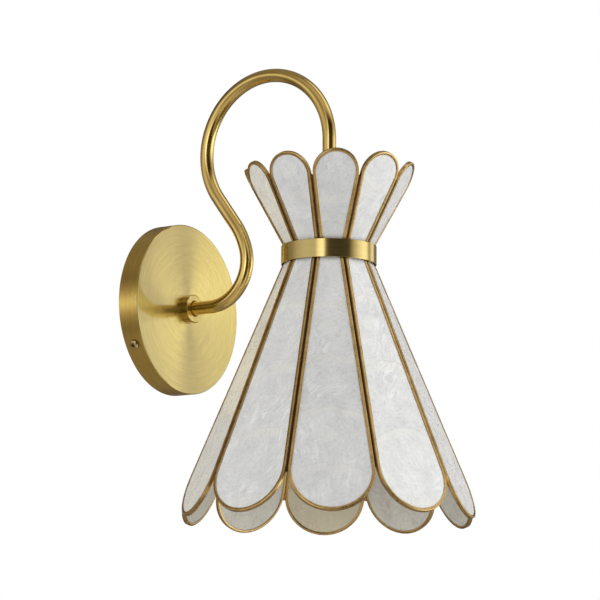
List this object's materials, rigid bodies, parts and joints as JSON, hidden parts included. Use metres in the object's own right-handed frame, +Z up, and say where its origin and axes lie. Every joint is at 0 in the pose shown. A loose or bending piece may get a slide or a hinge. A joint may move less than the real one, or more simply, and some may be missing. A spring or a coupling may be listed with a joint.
{
  "type": "wall sconce",
  "caption": "Wall sconce: round brass cup, curved swan-neck arm, flared petal shade of flat shell panels in brass frames with a waist band.",
  "frame": {"origin": "centre of the wall cup's back rim, on the wall plane", "axes": "+Y into the wall, +Z up, +X right for someone facing the wall"},
  "size_m": [0.2009, 0.2325, 0.3217],
  "materials": {
    "brushed_brass": "satin",
    "arm_brass": "polished",
    "inner_brass": "satin",
    "frame_brass": "antique satin",
    "shell_panel": "satin",
    "zinc_steel": "satin",
    "screw_brass": "polished",
    "earth_green": "gloss",
    "holder_white": "gloss",
    "contact_metal": "polished",
    "frosted_glass": "frosted",
    "bulb_metal": "polished"
  },
  "bodies": {
    "root": {"arm_collar": "arm_brass", "arm_lock_washer": "zinc_steel", "arm_nut": "inner_brass", "arm_tube": "arm_brass", "canopy": "brushed_brass", "canopy_screws": "screw_brass", "centre_contact": "contact_metal", "ground_screw": "earth_green", "holder_body": "holder_white", "holder_cap": "inner_brass", "hub_nut_lower": "inner_brass", "hub_nut_upper": "inner_brass", "lower_came_01": "frame_brass", "lower_came_02": "frame_brass", "lower_came_03": "frame_brass", "lower_came_04": "frame_brass", "lower_came_05": "frame_brass", "lower_came_06": "frame_brass", "lower_came_07": "frame_brass", "lower_came_08": "frame_brass", "lower_came_09": "frame_brass", "lower_came_10": "frame_brass", "lower_panel_01": "shell_panel", "lower_panel_02": "shell_panel", "lower_panel_03": "shell_panel", "lower_panel_04": "shell_panel", "lower_panel_05": "shell_panel", "lower_panel_06": "shell_panel", "lower_panel_07": "shell_panel", "lower_panel_08": "shell_panel", "lower_panel_09": "shell_panel", "lower_panel_10": "shell_panel", "screw_shell": "contact_metal", "shade_spider": "inner_brass", "upper_came_01": "frame_brass", "upper_came_02": "frame_brass", "upper_came_03": "frame_brass", "upper_came_04": "frame_brass", "upper_came_05": "frame_brass", "upper_came_06": "frame_brass", "upper_came_07": "frame_brass", "upper_came_08": "frame_brass", "upper_came_09": "frame_brass", "upper_came_10": "frame_brass", "upper_panel_01": "shell_panel", "upper_panel_02": "shell_panel", "upper_panel_03": "shell_panel", "upper_panel_04": "shell_panel", "upper_panel_05": "shell_panel", "upper_panel_06": "shell_panel", "upper_panel_07": "shell_panel", "upper_panel_08": "shell_panel", "upper_panel_09": "shell_panel", "upper_panel_10": "shell_panel", "waist_band": "brushed_brass", "wall_bracket": "zinc_steel"},
    "bulb": {"bulb_glass": "frosted_glass", "bulb_cap": "bulb_metal", "bulb_contact": "contact_metal"}
  },
  "joints": [
    {"name": "bulb_out", "type": "slide", "parent": "root", "child": "bulb", "axis": [0, 0, -1], "range_m": [0, 0.16]}
  ]
}
